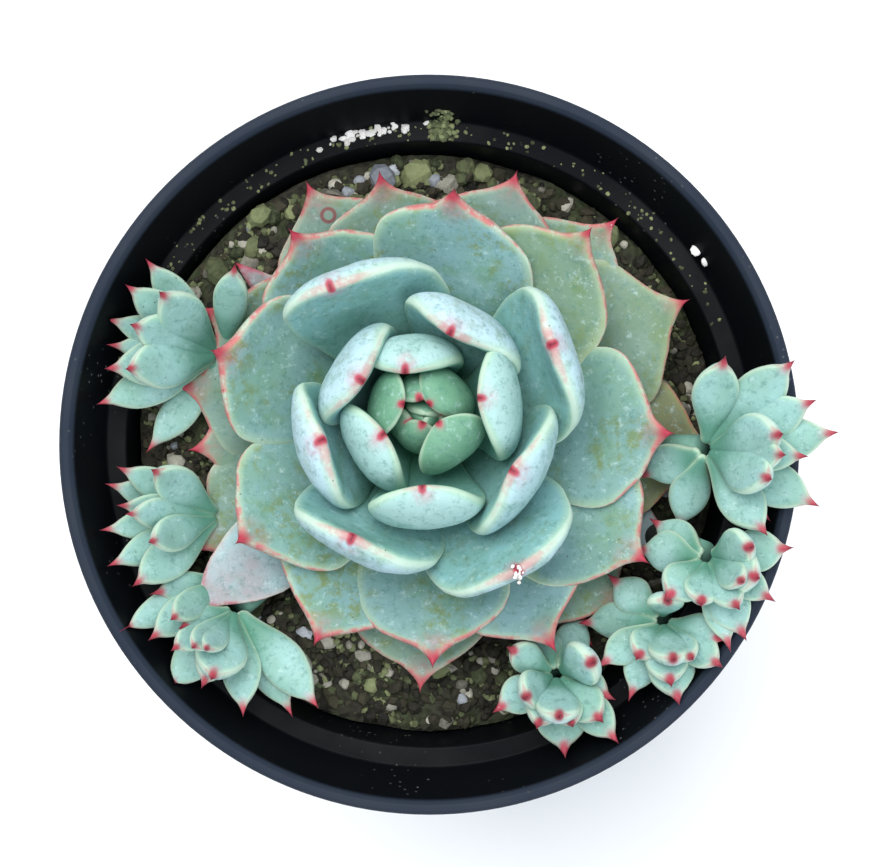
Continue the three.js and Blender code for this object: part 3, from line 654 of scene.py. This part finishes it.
bm = bmesh.new()
recess_middle = (CENTRE_DISC_RADIUS + foot_inner) / 2
for i in range(DRAIN_HOLE_COUNT):
    spot = Matrix.Rotation(math.tau * i / DRAIN_HOLE_COUNT, 4, "Z") @ Vector((recess_middle * MM, 0, 0))
    bmesh.ops.create_cone(bm, cap_ends=True, segments=28, radius1=DRAIN_HOLE_RADIUS * MM,
                          radius2=DRAIN_HOLE_RADIUS * MM, depth=20 * MM, matrix=Matrix.Translation(spot))
for i in range(FOOT_NOTCH_COUNT):
    turn = Matrix.Rotation(math.tau * (i + 0.5) / FOOT_NOTCH_COUNT, 4, "Z")
    size = Matrix.Diagonal((3 * FOOT_RING_WIDTH * MM, FOOT_NOTCH_WIDTH * MM, 2 * FOOT_NOTCH_RISE * MM, 1))
    bmesh.ops.create_cube(bm, size=1, matrix=turn @ Matrix.Translation((POT_BASE_RADIUS * MM, 0, 0)) @ size)
cutters = finish_piece(bm, "cutters", paper, smooth=False)
cut = pot_body.modifiers.new("drainage", "BOOLEAN")
cut.object = cutters
cut.solver = "EXACT"
applied = bpy.data.meshes.new_from_object(pot_body.evaluated_get(bpy.context.evaluated_depsgraph_get()))
pot_body.modifiers.clear()
pot_body.data = applied
bpy.data.objects.remove(cutters)
soften = pot_body.modifiers.new("rounded_edges", "BEVEL")
soften.width = 0.25 * MM
soften.segments = 2
soften.limit_method = "ANGLE"
soften.angle_limit = math.radians(25)
applied.shade_smooth()
print("pot faces:", len(applied.polygons))

# %% [markdown]
# Black polypropylene
#
# Moulded polypropylene has a satin skin: a clear highlight, softened by a fine texture. This pot has
# stood outside, so a grey dust lies on level places and speckles the wall. Its lip is painted a paler
# blue-grey, a painted reflection of the sky on the satin. Dust shows lighter and rougher than the plastic.

# %% Pot plastic
plastic, tree, shader, place = new_material("moulded_black_polypropylene")


def texture(size_mm, detail, kind="ShaderNodeTexNoise", **inputs):
    return add(tree, kind, {"Vector": place, "Scale": repeat(size_mm), "Detail": detail, **inputs})


level = add(tree, "ShaderNodeSeparateXYZ", {0: add(tree, "ShaderNodeNewGeometry").outputs["Normal"]})
facing_up = add(tree, "ShaderNodeMapRange", {"Value": level.outputs["Z"], "From Min": 0.4, "From Max": 0.95})
film = add(tree, "ShaderNodeMapRange", {"Value": texture(14, 4).outputs["Fac"], "From Min": 0.4, "From Max": 0.75,
           "To Max": 0.1})
film_up = add(tree, "ShaderNodeMath", {0: film.outputs[0], 1: facing_up.outputs[0], 2: 0.015}, operation="MULTIPLY_ADD")
specks = add(tree, "ShaderNodeTexVoronoi", {"Vector": place, "Scale": repeat(1.6)})
dot = add(tree, "ShaderNodeMapRange", {"Value": specks.outputs["Distance"], "From Min": 0.16, "From Max": 0.08})
patch = add(tree, "ShaderNodeMapRange", {"Value": texture(18, 3).outputs["Fac"], "From Min": 0.52, "From Max": 0.68})
dots = add(tree, "ShaderNodeMath", {0: dot.outputs[0], 1: patch.outputs[0]}, operation="MULTIPLY")
dust = add(tree, "ShaderNodeMath", {0: film_up.outputs[0], 1: dots.outputs[0]}, operation="MAXIMUM")
height = add(tree, "ShaderNodeSeparateXYZ", {0: place}).outputs["Z"]
on_lip = add(tree, "ShaderNodeMapRange", {"Value": height, "From Min": (RIM_HEIGHT - 1.4) * MM,
             "From Max": (RIM_HEIGHT - 0.7) * MM})
# The lip is a paler blue-grey than the black wall: a painted reflection of the sky on its top.
plastic_and_lip_sheen = add(tree, "ShaderNodeMix", {0: on_lip.outputs[0], 6: colour("05070b"), 7: colour("252c38")}, data_type="RGBA")
tone = add(tree, "ShaderNodeMix", {0: dust.outputs[0], 6: plastic_and_lip_sheen.outputs[2], 7: colour("575958")}, data_type="RGBA")
tree.links.new(tone.outputs[2], shader.inputs["Base Color"])
gloss = add(tree, "ShaderNodeMapRange", {"Value": dust.outputs[0], "To Min": 0.42, "To Max": 0.85})
tree.links.new(gloss.outputs[0], shader.inputs["Roughness"])
skin_bump = add(tree, "ShaderNodeBump", {"Strength": 0.2, "Distance": 0.08 * MM, "Height": texture(0.6, 2).outputs["Fac"]})
tree.links.new(skin_bump.outputs["Normal"], shader.inputs["Normal"])
shader.inputs["Specular IOR Level"].default_value = 0.06
applied.materials.clear()
applied.materials.append(plastic)
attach(pot_body, "root")
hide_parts("pot")
print("pot finished in", plastic.name)

# %% [markdown]
# Soil
#
# The mix is peat and fine bark with pumice and perlite, damp and grown over with moss in places. The
# bed is a spun disc whose top is lifted by the same mound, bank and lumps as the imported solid, with
# finer crumbs added. Loose grains are then scattered over it, because a bump map alone stays flat at
# the edges and from the side.

# %% Soil bed
SOIL_MOUND = 4
SOIL_BANK = 6
SOIL_BANK_AZIMUTH = 140
SOIL_ROUGHNESS = 0.9
SOIL_TOP = RIM_HEIGHT - SOIL_DEPTH


def soil_height(x, y):
    share = min(1, math.hypot(x, y) / STEP_INNER_RADIUS)
    turn = math.atan2(y, x) - math.radians(SOIL_BANK_AZIMUTH)
    bank = SOIL_BANK * share * max(0, math.cos(turn)) ** 2
    lumps = SOIL_ROUGHNESS * (math.sin(x * 0.31 + 1) * math.cos(y * 0.27) + math.sin((x - y) * 0.43) / 2)
    return SOIL_TOP + SOIL_MOUND * (1 - share * share) + bank + lumps


soil_edge = wall_inner_radius(SOIL_TOP) - GAP
floor_height = floor_top + GAP
SOIL_RINGS = 60
soil_profile = [(0, floor_height), (wall_inner_radius(0) - 2.5, floor_height),
                (wall_inner_radius(floor_height + 3) - 2 * GAP, floor_height + 3)]
soil_profile += [(soil_edge * (1 - i / SOIL_RINGS), SOIL_TOP) for i in range(SOIL_RINGS)] + [(0, SOIL_TOP)]
bm = bmesh.new()
spin_profile(bm, soil_profile, steps=150)
for vert in bm.verts:
    if vert.co.z / MM < SOIL_TOP - GAP:
        continue
    x, y = vert.co.x / MM, vert.co.y / MM
    crumbs = noise.fractal(Vector((x, y, 7)) * 0.55, 0.8, 2.1, 4) * 0.7
    vert.co.z = (soil_height(x, y) + crumbs) * MM
soil_bed_tree = BVHTree.FromBMesh(bm)

mix, tree, shader, place = new_material("damp_peat_and_grit")
crumb = add(tree, "ShaderNodeTexVoronoi", {"Vector": place, "Scale": repeat(1.3)})
peat = add(tree, "ShaderNodeMix", {0: crumb.outputs["Distance"], 6: colour("1d1b14"), 7: colour("3c3a2c")},
           data_type="RGBA")
green = add(tree, "ShaderNodeMapRange", {"Value": texture(9, 4).outputs["Fac"], "From Min": 0.45, "From Max": 0.65,
            "To Max": 0.7})
mossy = add(tree, "ShaderNodeMix", {0: green.outputs[0], 6: peat.outputs[2], 7: colour("3e4a2a")}, data_type="RGBA")
tree.links.new(mossy.outputs[2], shader.inputs["Base Color"])
rise = add(tree, "ShaderNodeBump", {"Strength": 0.9, "Distance": 0.8 * MM, "Height": crumb.outputs["Distance"]})
tree.links.new(rise.outputs["Normal"], shader.inputs["Normal"])
shader.inputs["Roughness"].default_value = 0.85
soil_bed = finish_piece(bm, "soil_bed", mix)
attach(soil_bed, "root")
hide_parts("soil")
print("soil bed top at", round(SOIL_TOP, 1), "mm")

# %% [markdown]
# Loose grains
#
# Grains are small lumpy balls of few faces, hundreds at a time in one mesh. Each falls where a ray
# from above meets the bed, sinks in a little, and keeps a random number that its material reads, so
# that no two are the same shade.

# %% Scatter grains
def grain_material(name, dark, pale, roughness):
    material, tree, shader, place = new_material(name)
    shade = add(tree, "ShaderNodeAttribute", attribute_name="shade").outputs["Fac"]
    fleck = add(tree, "ShaderNodeTexNoise", {"Vector": place, "Scale": repeat(0.7), "Detail": 3}).outputs["Fac"]
    both = add(tree, "ShaderNodeMath", {0: fleck, 1: 0.6, 2: shade}, operation="MULTIPLY_ADD")
    level = add(tree, "ShaderNodeMapRange", {"Value": both.outputs[0], "From Min": 0.2, "From Max": 1.4})
    tone = add(tree, "ShaderNodeMix", {0: level.outputs[0], 6: colour(dark), 7: colour(pale)}, data_type="RGBA")
    tree.links.new(tone.outputs[2], shader.inputs["Base Color"])
    pores = add(tree, "ShaderNodeBump", {"Strength": 0.5, "Distance": 0.15 * MM, "Height": fleck})
    tree.links.new(pores.outputs["Normal"], shader.inputs["Normal"])
    shader.inputs["Roughness"].default_value = roughness
    return material


def drop_grain(bm, spot, size, flat, subdivisions, rng):
    """One lumpy grain. spot is in metres, size is its radius in millimetres."""
    stretch = Vector((rng.uniform(0.8, 1.3), rng.uniform(0.7, 1.1), flat * rng.uniform(0.8, 1.2))) * size * MM
    turn = Euler((rng.uniform(-0.5, 0.5), rng.uniform(-0.5, 0.5), rng.uniform(0, math.tau)))
    grain = bmesh.ops.create_icosphere(bm, subdivisions=subdivisions, radius=1,
                                       matrix=Matrix.LocRotScale(spot, turn, stretch))["verts"]
    tone = rng.random()
    for vert in grain:
        vert.co += noise.noise_vector(vert.co * 900) * 0.28 * size * MM
        vert[bm.verts.layers.float["shade"]] = tone


def finish_grains(bm, name, material):
    piece = finish_piece(bm, name, material, smooth=False)
    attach(piece, "root")
    print(name, len(piece.data.polygons), "faces")


def scatter(name, material, count, sizes, flat, subdivisions, seed, keep):
    """Drops count grains on the soil where keep(x, y) says so. Sizes are radii in millimetres."""
    rng = random.Random(seed)
    bm = bmesh.new()
    bm.verts.layers.float.new("shade")
    made = 0
    while made < count:
        reach = (soil_edge - 1) * math.sqrt(rng.random())
        angle = rng.uniform(0, math.tau)
        x, y = reach * math.cos(angle), reach * math.sin(angle)
        if rng.random() > keep(x, y):
            continue
        hit = soil_bed_tree.ray_cast(Vector((x, y, 200)) * MM, Vector((0, 0, -1)))[0]
        size = rng.uniform(*sizes) * rng.uniform(0.7, 1.2)
        drop_grain(bm, hit + Vector((0, 0, 0.3 * size * flat * MM)), size, flat, subdivisions, rng)
        made += 1
    finish_grains(bm, name, material)


def open_ground(x, y):
    """Share of grains kept: few where the rosette hides the soil."""
    return 0.06 if math.hypot(x - STEM_OFFSET[0], y - STEM_OFFSET[1]) < 30 else 1


def patchy(x, y):
    return open_ground(x, y) * (1 if noise.noise(Vector((x, y, 3)) * 0.12) > -0.05 else 0.15)


def banked(x, y):
    """Moss and grit gather on the banked side, at the back."""
    turn = math.degrees(math.atan2(y, x))
    return patchy(x, y) * (1 if 30 < turn < 175 else 0.3)


peat_crumbs = grain_material("damp_peat_crumbs", "0d0c09", "423e2c", 0.85)
moss_tufts = grain_material("moss_tufts", "1d2613", "8c9468", 0.9)
pumice = grain_material("washed_pumice", "57554b", "c4c0b0", 0.9)
perlite = grain_material("wet_perlite", "71767e", "c3c8cd", 0.7)
mealy_wax = grain_material("mealy_wax", "c9c4bd", "f4f2ee", 0.9)
scatter("peat_crumbs", peat_crumbs, 2400, (0.5, 1.3), 0.8, 1, 11, open_ground)
scatter("moss_tufts", moss_tufts, 1900, (0.35, 0.9), 0.9, 1, 12, patchy)
scatter("moss_cushions", moss_tufts, 90, (1.1, 2.2), 0.8, 2, 15, banked)
scatter("pumice_bits", pumice, 330, (0.4, 1.2), 0.75, 2, 13, patchy)
scatter("pumice_stones", pumice, 26, (1.4, 2.2), 0.75, 2, 16, banked)
scatter("perlite_bits", perlite, 40, (0.6, 1.5), 0.8, 2, 14, open_ground)

# %% [markdown]
# Litter on the ledge, and mealy tufts
#
# Watering floats light bits up onto the ledge inside the pot, where they dry: a row of pale bark
# splinters at the back, a tongue of moss that climbs the wall beside them, and two white flecks. White
# mealy wax sits in tufts by the points of two leaves. All are made of the same lumpy grain.

# %% Ledge litter and mealy tufts
def ledge_spot(azimuth, radius):
    """A place on the ledge or, further out, on the sloping collar, in metres."""
    climb = max(0, radius - STEP_OUTER_RADIUS) / COLLAR_TAPER * (COLLAR_DEPTH - EDGE)
    around = Matrix.Rotation(math.radians(azimuth), 4, "Z")
    return around @ Vector((radius, 0, STEP_HEIGHT + climb)) * MM


rng = random.Random(21)
bm = bmesh.new()
bm.verts.layers.float.new("shade")
for _ in range(46):
    drop_grain(bm, ledge_spot(rng.gauss(100, 4.5), rng.gauss(53.5, 0.4)), rng.uniform(0.3, 0.8), 0.5, 1, rng)
for azimuth in (36, 33.5):
    drop_grain(bm, ledge_spot(azimuth, STEP_OUTER_RADIUS + 0.8), 0.9, 0.7, 2, rng)
finish_grains(bm, "ledge_litter", mealy_wax)

bm = bmesh.new()
bm.verts.layers.float.new("shade")
for _ in range(110):
    spot = ledge_spot(rng.gauss(88, 1.1), rng.uniform(STEP_INNER_RADIUS + 0.4, STEP_OUTER_RADIUS + 1.2))
    drop_grain(bm, spot, rng.uniform(0.3, 0.7), 0.9, 1, rng)
for _ in range(150):
    spot = ledge_spot(rng.uniform(20, 165), rng.uniform(STEP_INNER_RADIUS + 0.3, STEP_OUTER_RADIUS - 0.2))
    drop_grain(bm, spot, rng.uniform(0.15, 0.45), 0.8, 1, rng)
finish_grains(bm, "ledge_moss", moss_tufts)

bm = bmesh.new()
bm.verts.layers.float.new("shade")
for name in ("middle_leaf_7", "outer_leaf_8"):
    for _ in range(16):
        near = Vector((rng.gauss(0.2, 0.5), rng.gauss(-0.8, 0.45), rng.gauss(-0.3, 0.25)))
        drop_grain(bm, (leaf_points[name] + near) * MM, rng.uniform(0.2, 0.45), 1, 1, rng)
finish_grains(bm, "mealy_tufts", mealy_wax)

# %% [markdown]
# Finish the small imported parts
#
# The main stem and the two larger stones are right as packed, so they only get better materials.

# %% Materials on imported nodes
bark, tree, shader, place = new_material("corky_stem")
ridges = add(tree, "ShaderNodeTexNoise", {"Vector": place, "Scale": repeat(1.5), "Detail": 5})
tone = add(tree, "ShaderNodeMix", {0: ridges.outputs["Fac"], 6: colour("4b4a30"), 7: colour("8b8a62")}, data_type="RGBA")
tree.links.new(tone.outputs[2], shader.inputs["Base Color"])
shader.inputs["Roughness"].default_value = 0.75
for node_name, finish in (("main_stem", bark), ("grit_stone_1", pumice), ("grit_stone_2", perlite)):
    node_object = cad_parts[node_name]
    for material_slot in node_object.material_slots:
        material_slot.material = finish
print("packed nodes with new materials: 3")
